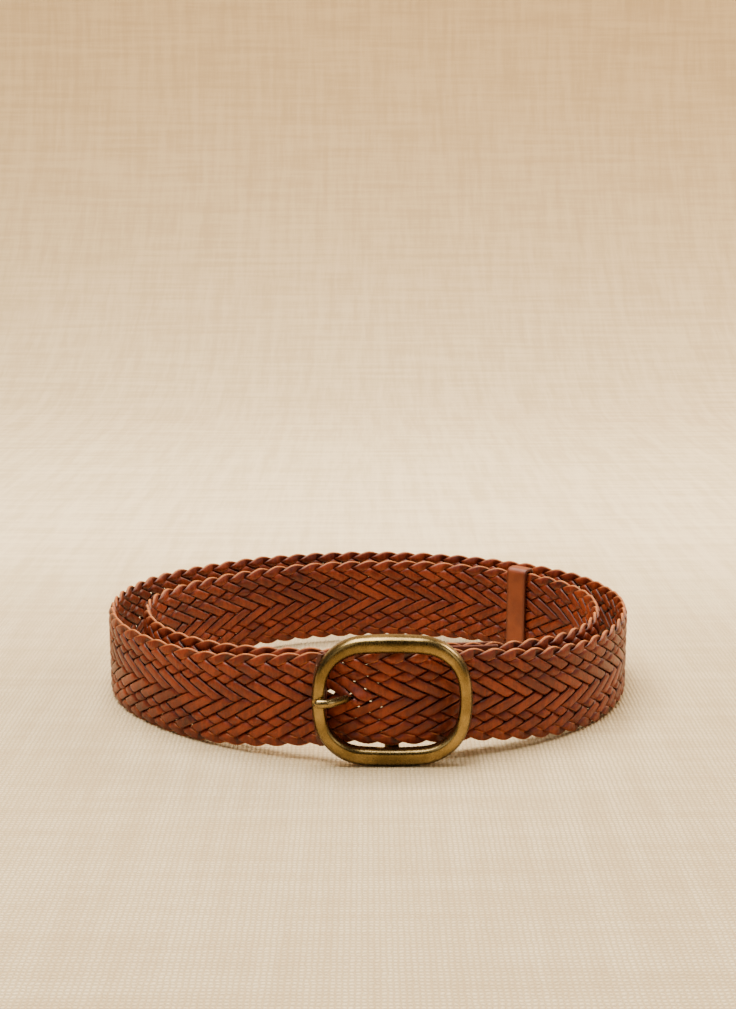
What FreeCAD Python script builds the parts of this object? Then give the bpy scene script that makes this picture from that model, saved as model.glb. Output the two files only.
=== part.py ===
import FreeCAD, Part
import math
import os

Vector = FreeCAD.Vector

# A braided leather belt with a centre-bar buckle, coiled into two turns and stood on its edge.
# X runs to the right, Y away from the buckle, Z up. The origin is on the floor in the coil's middle.
# The strap starts in the tab on the buckle's bar, runs once round the inner turn, passes through the
# buckle over the bar, runs once round the outer turn and ends behind the buckle's left side.

doc = FreeCAD.newDocument("braided_belt")
sheet = doc.addObject("Spreadsheet::Sheet", "dimensions")

DRIVING = [
    ("strap_width", 35.0),
    ("strap_thickness", 3.2),
    ("pressed_thickness", 2.2),
    ("outer_half_width", 104.4),
    ("outer_right_y", 9.5),
    ("outer_left_y", 8.5),
    ("outer_back_x", 1.5),
    ("outer_back_y", 90.0),
    ("outer_end_y", -84.8),
    ("inner_start_y", -76.0),
    ("inner_right_x", 92.0),
    ("inner_right_y", -0.5),
    ("inner_back_x", 6.5),
    ("inner_back_y", 64.7),
    ("inner_left_x", -88.8),
    ("inner_left_y", -1.5),
    ("inner_base", 2.0),
    ("front_y", -80.8),
    ("front_bulge", 3.0),
    ("front_bulge_reach", 32.0),
    ("lifted_base", 6.65),
    ("lift_flat", 10.0),
    ("lift_reach", 80.0),
    ("strap_end_x", -16.2),
    ("buckle_x", 8.5),
    ("buckle_width", 56.8),
    ("buckle_height", 48.3),
    ("buckle_depth", 4.0),
    ("buckle_back_y", -84.9),
    ("side_rail", 4.5),
    ("top_rail", 6.45),
    ("corner_radius", 19.0),
    ("front_round", 1.9),
    ("back_round", 0.5),
    ("bar_radius", 1.6),
    ("bar_y", -78.95),
    ("bar_inset", 3.6),
    ("lug_radius", 2.6),
    ("lug_height", 2.8),
    ("lug_inset", 3.1),
    ("lug_embed", 0.2),
    ("prong_clearance", 0.06),
    ("prong_ring_radius", 2.9),
    ("prong_ring_height", 2.8),
    ("prong_root_radius", 1.15),
    ("prong_tip_radius", 1.6),
    ("prong_tip_x", -17.3),
    ("prong_seat", 0.8),
    ("prong_seat_gap", 0.2),
    ("prong_seat_side_gap", 0.1),
    ("prong_slot_height", 3.7),
    ("prong_slot_left", -8.0),
    ("prong_slot_right", 7.0),
    ("tab_thickness", 1.3),
    ("tab_inset", 0.5),
    ("tab_length", 37.5),
    ("tab_fit", 0.05),
    ("braid_in_tab", 24.0),
    ("cap_thickness", 0.8),
    ("cap_length", 3.0),
    ("cap_inset", 0.4),
    ("keeper_width", 9.5),
    ("keeper_thickness", 1.5),
    ("keeper_side_gap", 0.35),
    ("keeper_end_gap", 0.3),
    ("keeper_angle", 54.0),
    ("staple_wire", 0.7),
    ("staple_crown", 6.0),
    ("thread_radius", 0.3),
    ("stitch_length", 2.6),
    ("stitch_pitch", 4.0),
]

for row, (alias, value) in enumerate(DRIVING, start=1):
    sheet.set("A%d" % row, alias)
    sheet.set("B%d" % row, str(value))
    sheet.setAlias("B%d" % row, alias)
doc.recompute()


def size(alias):
    """A driving dimension, read from the sheet."""
    return float(sheet.get(alias))


def smooth(fraction):
    """A gentle step from 0 to 1."""
    fraction = min(1.0, max(0.0, fraction))
    return fraction * fraction * (3 - 2 * fraction)


# ---------------------------------------------------------------------------------------------
# The path of the strap, seen from above

# Share of each quarter turn, in degrees, that its flatter arc takes: front right, right back,
# back left and left front.
OUTER_FLAT = (45.0, 42.0, 42.0, 52.0)
INNER_FLAT = (50.0, 42.0, 56.0, 50.0)


def quarter_radii(width, depth, flat):
    """Radii of the flat and the tight arc that together turn 90 degrees over width and depth."""
    s = math.sin(math.radians(flat))
    c = math.cos(math.radians(flat))
    # flat * s + tight * (1 - s) = width, and flat * (1 - c) + tight * c = depth
    scale = s * c - (1 - s) * (1 - c)
    flat_radius = (width * c - depth * (1 - s)) / scale
    tight_radius = (depth * s - width * (1 - c)) / scale
    return flat_radius, tight_radius


def turn_arcs(start, right, back, left, end, flats):
    """One anticlockwise turn from the front to the front, as (radius, degrees) arcs."""
    quarters = [
        quarter_radii(right[0] - start[0], right[1] - start[1], flats[0]),
        quarter_radii(right[0] - back[0], back[1] - right[1], flats[1]),
        quarter_radii(back[0] - left[0], back[1] - left[1], flats[2]),
        quarter_radii(end[0] - left[0], left[1] - end[1], flats[3]),
    ]
    arcs = []
    for index, (flat_radius, tight_radius) in enumerate(quarters):
        pair = [(flat_radius, flats[index]), (tight_radius, 90 - flats[index])]
        if index in (1, 3):
            pair.reverse()
        arcs.extend(pair)
    return arcs


class Turn:
    """One turn of the coil: a chain of tangent arcs that starts at the front, heading right."""

    def __init__(self, start, arcs, base):
        self.base = base
        self.pieces = []
        x, y = start
        normal = -math.pi / 2
        distance = 0.0
        for radius, degrees in arcs:
            centre = (x - radius * math.cos(normal), y - radius * math.sin(normal))
            length = radius * math.radians(degrees)
            self.pieces.append((distance, length, centre, radius, normal))
            distance += length
            normal += math.radians(degrees)
            x = centre[0] + radius * math.cos(normal)
            y = centre[1] + radius * math.sin(normal)
        self.length = distance

    def at(self, distance):
        """Position and outward normal angle at a distance along the turn."""
        for begin, length, centre, radius, normal in self.pieces:
            if distance <= begin + length:
                break
        angle = normal + (distance - begin) / radius
        return centre[0] + radius * math.cos(angle), centre[1] + radius * math.sin(angle), angle

    def distance_at_x(self, wanted, low, high):
        """Distance between low and high where x reaches the wanted value, by halving."""
        rising = self.at(high)[0] > self.at(low)[0]
        for _ in range(50):
            middle = (low + high) / 2
            if (self.at(middle)[0] < wanted) == rising:
                low = middle
            else:
                high = middle
        return (low + high) / 2


FRONT = (size("buckle_x"), size("front_y"))
INNER_START = (size("buckle_x"), size("inner_start_y"))
OUTER_END = (size("buckle_x"), size("outer_end_y"))

inner_turn = Turn(
    INNER_START,
    turn_arcs(
        INNER_START,
        (size("inner_right_x"), size("inner_right_y")),
        (size("inner_back_x"), size("inner_back_y")),
        (size("inner_left_x"), size("inner_left_y")),
        FRONT,
        INNER_FLAT,
    ),
    size("inner_base"),
)
outer_turn = Turn(
    FRONT,
    turn_arcs(
        FRONT,
        (size("outer_half_width"), size("outer_right_y")),
        (size("outer_back_x"), size("outer_back_y")),
        (-size("outer_half_width"), size("outer_left_y")),
        OUTER_END,
        OUTER_FLAT,
    ),
    0.0,
)


def bottom_edge(turn, x, y):
    """Height of the strap's lower edge: it rises to the buckle, which stands on its own rim."""
    if y > 0:
        return turn.base
    reach = size("lift_reach")
    rise = smooth((reach - abs(x - size("buckle_x"))) / (reach - size("lift_flat")))
    return turn.base + (size("lifted_base") - turn.base) * rise


def station(turn, distance, from_bar, thickness, offset=0.0):
    """One cross-section of the strap: middle, normal, half thickness and lower edge.

    The strap bulges forward where it rides over the bar, from_bar away along its length."""
    x, y, angle = turn.at(distance)
    reach = size("front_bulge_reach")
    if abs(from_bar) < reach:
        offset += size("front_bulge") * (1 + math.cos(math.pi * from_bar / reach)) / 2
    nx, ny = math.cos(angle), math.sin(angle)
    return x + offset * nx, y + offset * ny, nx, ny, thickness / 2, bottom_edge(turn, x, y)


# Lower edges that differ by less than this are level.
LEVEL_LIMIT = 1e-9
# The most sections that one curved face of a ribbon spans.
SECTIONS_PER_FACE = 6


def long_edge(row, distances, first, last):
    """Smooth edge through part of a row of points, with the whole row's heading at its ends."""
    headings = []
    for index in (first, last):
        before, after = max(index - 1, 0), min(index + 1, len(row) - 1)
        headings.append((row[after] - row[before]) / (distances[after] - distances[before]))
    curve = Part.BSplineCurve()
    curve.interpolate(
        Points=row[first:last + 1],
        Parameters=distances[first:last + 1],
        InitialTangent=headings[0],
        FinalTangent=headings[1],
        Scale=False,
    )
    return curve.toShape()


def flat_face(edges, others):
    """Flat face between two rows of edges that lie in one level plane."""
    begin = Part.makeLine(edges[0].Vertexes[0].Point, others[0].Vertexes[0].Point)
    end = Part.makeLine(edges[-1].Vertexes[-1].Point, others[-1].Vertexes[-1].Point)
    return Part.Face(Part.Wire(Part.__sortEdges__(edges + others + [begin, end])))


def ribbon(stations, height, inset=0.0, marks=None):
    """Closed solid through upright cross-sections, with smooth long edges.

    Marks are the sections where its runs begin and end. A level run is flat above and below."""
    rows = {}
    for side in (-1, 1):
        for top in (0, 1):
            rise = height - inset if top else inset
            rows[side, top] = [
                Vector(x + side * half * nx, y + side * half * ny, low + rise)
                for x, y, nx, ny, half, low in stations
            ]
    # All four long edges share their parameters, so that the faces between them have few spans.
    distances = [0.0]
    for here, there in zip(stations, stations[1:]):
        distances.append(distances[-1] + math.dist(here[:2], there[:2]))
    marks = marks or [0, len(stations) - 1]
    faces = []
    for first, last in zip(marks, marks[1:]):
        joints = list(range(first, last, SECTIONS_PER_FACE)) + [last]
        edges = {
            key: [long_edge(row, distances, begin, end) for begin, end in zip(joints, joints[1:])]
            for key, row in rows.items()
        }
        for side in (-1, 1):
            faces += [Part.makeRuledSurface(a, b) for a, b in zip(edges[side, 0], edges[side, 1])]
        lows = [section[-1] for section in stations[max(first - 1, 0):last + 2]]
        level = max(lows) - min(lows) < LEVEL_LIMIT
        for top in (0, 1):
            if level:
                faces.append(flat_face(edges[-1, top], edges[1, top]))
            else:
                faces += [Part.makeRuledSurface(a, b) for a, b in zip(edges[-1, top], edges[1, top])]
    for end in (marks[0], marks[-1]):
        corners = [rows[key][end] for key in ((-1, 0), (1, 0), (1, 1), (-1, 1))]
        faces.append(Part.Face(Part.makePolygon(corners + corners[:1])))
    shell = Part.makeShell(faces)
    shell.sewShape()
    solid = Part.Solid(shell)
    if solid.Volume < 0:
        solid.reverse()
    return solid


def spaced(begin, end, step):
    """Evenly spaced values from begin to end, about step apart."""
    count = max(2, int(round(abs(end - begin) / step)))
    return [begin + (end - begin) * index / count for index in range(count + 1)]


# ---------------------------------------------------------------------------------------------
# Document objects

def feature(name, shape):
    """A document object that holds a shape made in code."""
    item = doc.addObject("Part::Feature", name)
    item.Label = name
    item.Shape = shape
    item.Placement = FreeCAD.Placement()
    return item


def bound(kind, name, **formulas):
    """A primitive or boolean whose properties follow the sheet."""
    item = doc.addObject(kind, name)
    for prop, formula in formulas.items():
        item.setExpression(prop.replace("__", "."), formula)
    return item


def boolean(kind, name, base, tool):
    """A cut, fuse or common of two document objects."""
    item = doc.addObject(kind, name)
    item.Base = base
    item.Tool = tool
    return item


# Strap -----------------------------------------------------------------------------------------

INNER_FIRST_QUARTER = inner_turn.pieces[2][0]
strap_start = inner_turn.distance_at_x(
    size("buckle_x") + size("tab_length") - size("braid_in_tab"), 0.0, INNER_FIRST_QUARTER
)
tab_end = inner_turn.distance_at_x(size("buckle_x") + size("tab_length"), 0.0, INNER_FIRST_QUARTER)
strap_end = outer_turn.distance_at_x(size("strap_end_x"), outer_turn.pieces[6][0], outer_turn.length)


def strap_thickness_at(turn, distance):
    """The braid is pressed thin inside the tab and inside the end cap."""
    full = size("strap_thickness")
    pressed = size("pressed_thickness")
    if turn is inner_turn:
        share = smooth((distance - tab_end - 1) / 3)
    else:
        share = smooth((strap_end - size("cap_length") - 1 - distance) / 3)
    return pressed + (full - pressed) * share


def strap_stations():
    """Cross-sections along the whole strap, and the numbers of those where it is divided."""
    window_left = inner_turn.distance_at_x(
        size("prong_slot_left"), inner_turn.pieces[6][0], inner_turn.length
    )
    window_right = inner_turn.distance_at_x(
        size("prong_slot_right"), inner_turn.pieces[6][0], inner_turn.length
    )
    cap_start = strap_end - size("cap_length")
    # Stretches of one spacing: the turn, where the stretch ends and how far apart its sections are.
    stretches = [
        (inner_turn, tab_end, 4.0),
        (inner_turn, tab_end + 4.0, 1.0),
        (inner_turn, inner_turn.pieces[2][0], 5.0),
        (inner_turn, inner_turn.pieces[6][0], 5.0),
        (inner_turn, window_left, 5.0),
        (inner_turn, window_right, 3.0),
        (inner_turn, inner_turn.length, 1.5),
        (outer_turn, outer_turn.pieces[2][0], 5.0),
        (outer_turn, outer_turn.pieces[6][0], 5.0),
        (outer_turn, cap_start - 4.0, 5.0),
        (outer_turn, cap_start, 1.0),
        (outer_turn, strap_end, 2.5),
    ]
    stations, marks = [], []
    turn, begin = inner_turn, strap_start
    for next_turn, end, step in stretches:
        if next_turn is not turn:
            turn, begin = next_turn, 0.0
        distances = spaced(begin, end, step)
        for distance in distances[1:] if stations else distances:
            from_bar = inner_turn.length - distance if turn is inner_turn else distance
            thickness = strap_thickness_at(turn, distance)
            stations.append(station(turn, distance, from_bar, thickness))
        marks.append(len(stations) - 1)
        begin = end
    return stations, marks


def braided_strap():
    """The strap: one length before the buckle's window, two strands round the prong, one length after.

    The strands are parted on the centre line where the prong goes through."""
    stations, marks = strap_stations()
    right, left, window_left, window_right = marks[2:6]
    second_right, second_left, end = marks[7], marks[8], marks[-1]
    width = size("strap_width")
    before = feature("strap_before", ribbon(stations, width, marks=[0, right, left, window_left]))
    across = feature("strap_across", ribbon(stations, width, marks=[window_left, window_right]))
    after = feature("strap_after", ribbon(
        stations, width, marks=[window_right, second_right, second_left, end]
    ))
    slot = bound(
        "Part::Box",
        "strap_slot",
        Length="2 * (dimensions.prong_slot_right - dimensions.prong_slot_left)",
        Width="4 * dimensions.strap_thickness",
        Height="dimensions.prong_slot_height",
        Placement__Base__x="dimensions.prong_slot_left * 1.5 - dimensions.prong_slot_right * 0.5",
        Placement__Base__y="dimensions.front_y - dimensions.front_bulge - 2 * dimensions.strap_thickness",
        Placement__Base__z="dimensions.buckle_height / 2 - dimensions.prong_slot_height / 2",
    )
    strap = doc.addObject("Part::Compound", "braided_strap")
    strap.Links = [before, boolean("Part::Cut", "strap_strands", across, slot), after]
    return strap


# Buckle ----------------------------------------------------------------------------------------

SIDE_SWEEP = 12.0
TOP_SWEEP = 5.0


def rounded_outline(half_width, half_height, corner, y):
    """Rounded oval of bowed sides and tangent corner arcs, upright, at one depth."""
    top = math.radians(TOP_SWEEP)
    side = math.radians(SIDE_SWEEP)
    # bow_top and bow_side make the quarter of three arcs end at half_width and half_height
    a, b = math.sin(top), 1 - math.cos(side)
    c, d = 1 - math.cos(top), math.sin(side)
    across = half_width - corner * (math.cos(side) - math.sin(top))
    upward = half_height - corner * (math.cos(top) - math.sin(side))
    bow_top = (across * d - upward * b) / (a * d - b * c)
    bow_side = (upward * a - across * c) / (a * d - b * c)
    middle = Vector(size("buckle_x"), y, size("buckle_height") / 2)
    corner_x = (bow_top - corner) * math.sin(top)
    corner_z = half_height - bow_top + (bow_top - corner) * math.cos(top)
    side_x = half_width - bow_side

    def on_arc(cx, cz, radius, degrees, sx, sz):
        angle = math.radians(degrees)
        return middle + Vector(sx * (cx + radius * math.cos(angle)), 0, sz * (cz + radius * math.sin(angle)))

    edges = []
    top_joint = 90 - TOP_SWEEP
    corner_middle = (top_joint + SIDE_SWEEP) / 2
    for sx, sz in ((1, 1), (1, -1), (-1, -1), (-1, 1)):
        edges.append(Part.Arc(
            on_arc(corner_x, corner_z, corner, top_joint, sx, sz),
            on_arc(corner_x, corner_z, corner, corner_middle, sx, sz),
            on_arc(corner_x, corner_z, corner, SIDE_SWEEP, sx, sz),
        ).toShape())
    for sz in (1, -1):
        edges.append(Part.Arc(
            on_arc(corner_x, corner_z, corner, top_joint, -1, sz),
            middle + Vector(0, 0, sz * half_height),
            on_arc(corner_x, corner_z, corner, top_joint, 1, sz),
        ).toShape())
    for sx in (1, -1):
        edges.append(Part.Arc(
            on_arc(side_x, 0, bow_side, SIDE_SWEEP, sx, 1),
            middle + Vector(sx * half_width, 0, 0),
            on_arc(side_x, 0, bow_side, SIDE_SWEEP, sx, -1),
        ).toShape())
    return Part.Wire(Part.__sortEdges__(edges))


def frame_ring():
    """The frame's ring with rounded rails, before the lugs and the prong's seat are added."""
    half_width = size("buckle_width") / 2
    half_height = size("buckle_height") / 2
    back = size("buckle_back_y")
    outer = rounded_outline(half_width, half_height, size("corner_radius"), back)
    rail = (size("side_rail") + size("top_rail")) / 2
    inner = rounded_outline(
        half_width - size("side_rail"), half_height - size("top_rail"), size("corner_radius") - rail, back
    )
    face = Part.makeFace([outer, inner], "Part::FaceMakerBullseye")
    outline = feature("frame_outline", face)
    ring = doc.addObject("Part::Extrusion", "frame_blank")
    ring.Base = outline
    ring.DirMode = "Custom"
    ring.Dir = Vector(0, -1, 0)
    ring.Solid = True
    ring.setExpression("LengthFwd", "dimensions.buckle_depth")
    doc.recompute()
    front = back - size("buckle_depth")
    rounds = []
    for index, edge in enumerate(ring.Shape.Edges, start=1):
        box = edge.BoundBox
        if box.YLength > 0.1:
            continue
        at_front = abs(box.YMin - front) < 0.01
        radius = size("front_round") if at_front else size("back_round")
        rounds.append((index, radius, radius))
    smooth_ring = doc.addObject("Part::Fillet", "frame_rounded")
    smooth_ring.Base = ring
    smooth_ring.Edges = rounds
    return smooth_ring


def bar_lug(name, height_formula):
    """A lug behind the ring that holds one end of the bar: a block with a rounded end."""
    block = bound(
        "Part::Box",
        name + "_block",
        Length="2 * dimensions.lug_radius",
        Width="dimensions.bar_y - dimensions.buckle_back_y + dimensions.lug_embed",
        Height="dimensions.lug_height",
        Placement__Base__x="dimensions.buckle_x - dimensions.lug_radius",
        Placement__Base__y="dimensions.buckle_back_y - dimensions.lug_embed",
        Placement__Base__z=height_formula,
    )
    end = bound(
        "Part::Cylinder",
        name + "_end",
        Radius="dimensions.lug_radius",
        Height="dimensions.lug_height",
        Placement__Base__x="dimensions.buckle_x",
        Placement__Base__y="dimensions.bar_y",
        Placement__Base__z=height_formula,
    )
    return boolean("Part::Fuse", name, block, end)


def bar_cylinder(name):
    """The centre bar's own cylinder."""
    return bound(
        "Part::Cylinder",
        name,
        Radius="dimensions.bar_radius",
        Height="dimensions.buckle_height - 2 * dimensions.bar_inset",
        Placement__Base__x="dimensions.buckle_x",
        Placement__Base__y="dimensions.bar_y",
        Placement__Base__z="dimensions.bar_inset",
    )


def buckle_frame():
    """Ring, two lugs with blind holes for the bar, and the shallow seat for the prong's tip."""
    low = bar_lug("lug_low", "dimensions.lug_inset")
    high = bar_lug("lug_high", "dimensions.buckle_height - dimensions.lug_inset - dimensions.lug_height")
    body = doc.addObject("Part::MultiFuse", "frame_with_lugs")
    body.Shapes = [frame_ring(), low, high]
    bored = boolean("Part::Cut", "frame_bored", body, bar_cylinder("bar_bore"))
    seat = bound(
        "Part::Cylinder",
        "prong_seat_cut",
        Radius="dimensions.prong_tip_radius + dimensions.prong_seat_side_gap",
        Height="2 * dimensions.side_rail",
        Placement__Base__x="dimensions.buckle_x - dimensions.buckle_width / 2 - dimensions.side_rail / 2",
        Placement__Base__y="dimensions.buckle_back_y - dimensions.buckle_depth"
        " + dimensions.prong_seat - dimensions.prong_tip_radius - dimensions.prong_seat_side_gap",
        Placement__Base__z="dimensions.buckle_height / 2",
    )
    seat.Placement.Rotation = FreeCAD.Rotation(Vector(0, 1, 0), 90)
    return boolean("Part::Cut", "buckle_frame", bored, seat)


# Share of the prong's length over which it bends forward; the rest lies flat on the frame.
PRONG_BEND_SHARE = 0.93
# Above 1, the prong stays close to the bar for longer before it bends forward.
PRONG_BEND_DELAY = 1.6


def prong():
    """Ring on the bar and a rod that bends forward through the strap and rests on the frame."""
    middle_z = size("buckle_height") / 2
    start_x = size("buckle_x") - size("bar_radius") - 0.6
    start_y = size("bar_y") - 0.7
    end_x = size("prong_tip_x")
    seat_y = size("buckle_back_y") - size("buckle_depth") + size("prong_seat")
    end_y = seat_y - size("prong_tip_radius") - size("prong_seat_gap")
    root, tip = size("prong_root_radius"), size("prong_tip_radius")
    sections = []
    count = 8
    for index in range(count + 1):
        share = index / count
        x = start_x + (end_x - start_x) * share
        bent = min(1.0, share / PRONG_BEND_SHARE)
        bend = bent ** PRONG_BEND_DELAY
        bend_rate = PRONG_BEND_DELAY * bent ** (PRONG_BEND_DELAY - 1) / PRONG_BEND_SHARE
        y = start_y + (end_y - start_y) * smooth(bend)
        slope = (end_y - start_y) * 6 * bend * (1 - bend) * bend_rate
        heading = Vector(end_x - start_x, slope, 0)
        radius = root + (tip - root) * smooth((share - 0.35) / 0.5)
        sections.append(Part.Wire(Part.makeCircle(radius, Vector(x, y, middle_z), heading)))
    for degrees in (25, 45, 62, 75, 85):
        angle = math.radians(degrees)
        place = Vector(end_x - tip * math.sin(angle), end_y, middle_z)
        sections.append(Part.Wire(Part.makeCircle(tip * math.cos(angle), place, Vector(-1, 0, 0))))
    rod = feature("prong_rod", Part.makeLoft(sections, True))
    ring = bound(
        "Part::Cylinder",
        "prong_ring",
        Radius="dimensions.prong_ring_radius",
        Height="dimensions.prong_ring_height",
        Placement__Base__x="dimensions.buckle_x",
        Placement__Base__y="dimensions.bar_y",
        Placement__Base__z="dimensions.buckle_height / 2 - dimensions.prong_ring_height / 2",
    )
    body = boolean("Part::Fuse", "prong_solid", ring, rod)
    hole = bound(
        "Part::Cylinder",
        "prong_hole",
        Radius="dimensions.bar_radius + dimensions.prong_clearance",
        Height="2 * dimensions.prong_ring_height",
        Placement__Base__x="dimensions.buckle_x",
        Placement__Base__y="dimensions.bar_y",
        Placement__Base__z="dimensions.buckle_height / 2 - dimensions.prong_ring_height",
    )
    return boolean("Part::Cut", "prong", body, hole)


# Tab -------------------------------------------------------------------------------------------

def tab_middle_line():
    """Middle line of the folded tab: the front ply, the fold round the bar, the back ply."""
    ply_offset = size("pressed_thickness") / 2 + size("tab_fit") + size("tab_thickness") / 2
    fold_radius = size("bar_radius") + size("tab_fit") + size("tab_thickness") / 2
    marks = spaced(tab_end, strap_start, 4.0)
    front, back = [], []
    for distance in marks:
        x, y, angle = inner_turn.at(distance)
        nx, ny = math.cos(angle), math.sin(angle)
        front.append(Vector(x + ply_offset * nx, y + ply_offset * ny, 0))
        back.insert(0, Vector(x - ply_offset * nx, y - ply_offset * ny, 0))
    fold = []
    for degrees in range(-90, -271, -15):
        angle = math.radians(degrees)
        fold.append(Vector(
            size("buckle_x") + fold_radius * math.cos(angle),
            size("bar_y") + fold_radius * math.sin(angle),
            0,
        ))
    return front + fold + back


def buckle_tab():
    """Folded leather tab with a slot at its fold for the prong."""
    line = Part.BSplineCurve()
    line.interpolate(tab_middle_line())
    stations = []
    for share in spaced(0.0, 1.0, 1.0 / 60):
        parameter = line.FirstParameter + share * (line.LastParameter - line.FirstParameter)
        point = line.value(parameter)
        along = line.tangent(parameter)[0]
        low = bottom_edge(inner_turn, point.x, point.y)
        stations.append((point.x, point.y, along.y, -along.x, size("tab_thickness") / 2, low))
    plain = feature("tab_blank", ribbon(stations, size("strap_width"), size("tab_inset")))
    slot = bound(
        "Part::Box",
        "tab_slot",
        Length="2 * dimensions.prong_ring_radius + 2",
        Width="6 * dimensions.prong_ring_radius",
        Height="dimensions.prong_ring_height + 0.8",
        Placement__Base__x="dimensions.buckle_x - dimensions.prong_ring_radius - 1",
        Placement__Base__y="dimensions.bar_y - 3 * dimensions.prong_ring_radius",
        Placement__Base__z="dimensions.buckle_height / 2 - dimensions.prong_ring_height / 2 - 0.4",
    )
    return boolean("Part::Cut", "buckle_tab", plain, slot)


def stitch(x, y, z, length):
    """One upright stitch of thread with rounded ends."""
    radius = size("thread_radius")
    rod = Part.makeCylinder(radius, length - 2 * radius, Vector(x, y, z - length / 2 + radius))
    low = Part.makeSphere(radius, Vector(x, y, z - length / 2 + radius))
    high = Part.makeSphere(radius, Vector(x, y, z + length / 2 - radius))
    return rod.fuse([low, high])


def stitch_column(x, y, nx, ny, distance, low, height):
    """Stitches one above another, at a distance along the normal from a middle point."""
    count = int((height - 4.0) / size("stitch_pitch"))
    first = low + height / 2 - (count - 1) * size("stitch_pitch") / 2
    return [
        stitch(x + distance * nx, y + distance * ny, first + index * size("stitch_pitch"), size("stitch_length"))
        for index in range(count)
    ]


def tab_stitching():
    """Two columns of stitches that hold the tab on the braid, seen on both plies."""
    surface = size("pressed_thickness") / 2 + size("tab_fit") + size("tab_thickness")
    distance = surface + size("thread_radius") / 2
    stitches = []
    for mark in (strap_start + 3.0, tab_end - 2.5):
        x, y, angle = inner_turn.at(mark)
        low = bottom_edge(inner_turn, x, y)
        for side in (-1, 1):
            stitches += stitch_column(
                x, y, math.cos(angle), math.sin(angle), side * distance, low, size("strap_width")
            )
    return feature("tab_stitching", Part.makeCompound(stitches))


# End cap ---------------------------------------------------------------------------------------

def cap_stations(begin, end, thickness):
    """Cross-sections of the end cap or of the space inside it."""
    return [station(outer_turn, mark, mark, thickness) for mark in spaced(begin, end, 1.5)]


def end_cap():
    """A short leather cap folded over the braid's free end."""
    begin = strap_end - size("cap_length")
    outer = cap_stations(begin, strap_end + size("cap_thickness"), size("pressed_thickness")
                         + 2 * size("tab_fit") + 2 * size("cap_thickness"))
    inner = cap_stations(begin - 1.0, strap_end + size("tab_fit"), size("pressed_thickness")
                         + 2 * size("tab_fit"))
    skin = feature("cap_blank", ribbon(outer, size("strap_width"), size("cap_inset")))
    space = feature("cap_space", ribbon(inner, size("strap_width"), -1.0))
    return boolean("Part::Cut", "end_cap", skin, space)


def end_cap_stitching():
    """One column of stitches through the cap, sunk by half their thickness into both faces."""
    surface = size("pressed_thickness") / 2 + size("tab_fit") + size("cap_thickness")
    x, y, angle = outer_turn.at(strap_end - size("cap_length") / 2)
    low = bottom_edge(outer_turn, x, y)
    stitches = []
    for side in (-1, 1):
        stitches += stitch_column(
            x, y, math.cos(angle), math.sin(angle), side * surface, low, size("strap_width")
        )
    return feature("end_cap_stitching", Part.makeCompound(stitches))


# Keeper ----------------------------------------------------------------------------------------

BACK_ARC = inner_turn.pieces[3]
BACK_CENTRE = BACK_ARC[2]
BACK_RADIUS = BACK_ARC[3]


def keeper_sector(name, outward, low, height, degrees):
    """Sector of a cylinder about the back arc's centre, outward from the strap's middle."""
    item = doc.addObject("Part::Cylinder", name)
    item.Radius = BACK_RADIUS + outward
    item.setExpression("Height", height)
    item.Angle = degrees
    start = size("keeper_angle") - degrees / 2
    turned = FreeCAD.Rotation(Vector(0, 0, 1), start)
    item.Placement = FreeCAD.Placement(Vector(BACK_CENTRE[0], BACK_CENTRE[1], 0), turned)
    item.setExpression("Placement.Base.z", low)
    return item


def keeper_band():
    """Leather loop round the strap at the back of the inner turn, square to the strap."""
    inside = size("strap_thickness") / 2 + size("keeper_side_gap")
    outside = inside + size("keeper_thickness")
    degrees = math.degrees(size("keeper_width") / BACK_RADIUS)
    low = "dimensions.inner_base - dimensions.keeper_end_gap"
    height = "dimensions.strap_width + 2 * dimensions.keeper_end_gap"
    shell_low = low + " - dimensions.keeper_thickness"
    shell_height = height + " + 2 * dimensions.keeper_thickness"
    block = boolean(
        "Part::Cut",
        "keeper_block",
        keeper_sector("keeper_outer", outside, shell_low, shell_height, degrees),
        keeper_sector("keeper_core", -outside, shell_low, shell_height, degrees + 1),
    )
    hollow = boolean(
        "Part::Cut",
        "keeper_hollow",
        keeper_sector("keeper_hollow_outer", inside, low, height, degrees + 1),
        keeper_sector("keeper_hollow_core", -inside, low, height, degrees + 2),
    )
    return boolean("Part::Cut", "keeper_band", block, hollow)


def keeper_staples():
    """Two wire staples that close the band on its outward face."""
    wire = size("staple_wire")
    face = BACK_RADIUS + size("strap_thickness") / 2 + size("keeper_side_gap") + size("keeper_thickness")
    angle = math.radians(size("keeper_angle"))
    crown = size("staple_crown")
    staples = []
    for z in (size("inner_base") + size("strap_width") * share for share in (0.3, 0.7)):
        bar = Part.makeBox(wire, crown, wire, Vector(face - 0.1, -crown / 2, z - wire / 2))
        legs = [
            Part.makeBox(size("keeper_thickness") * 0.8, wire, wire, Vector(
                face - size("keeper_thickness") * 0.8, side * (crown - wire) / 2 - wire / 2, z - wire / 2))
            for side in (-1, 1)
        ]
        staple = bar.fuse(legs)
        staple.rotate(Vector(0, 0, 0), Vector(0, 0, 1), math.degrees(angle))
        staple.translate(Vector(BACK_CENTRE[0], BACK_CENTRE[1], 0))
        staples.append(staple)
    return feature("keeper_staples", Part.makeCompound(staples))


# Build, check and write --------------------------------------------------------------------------

subparts = [
    braided_strap(),
    buckle_tab(),
    tab_stitching(),
    end_cap(),
    end_cap_stitching(),
    buckle_frame(),
    bar_cylinder("centre_bar"),
    prong(),
    keeper_band(),
    keeper_staples(),
]
for item in subparts:
    item.Label = item.Name
doc.recompute()

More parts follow.
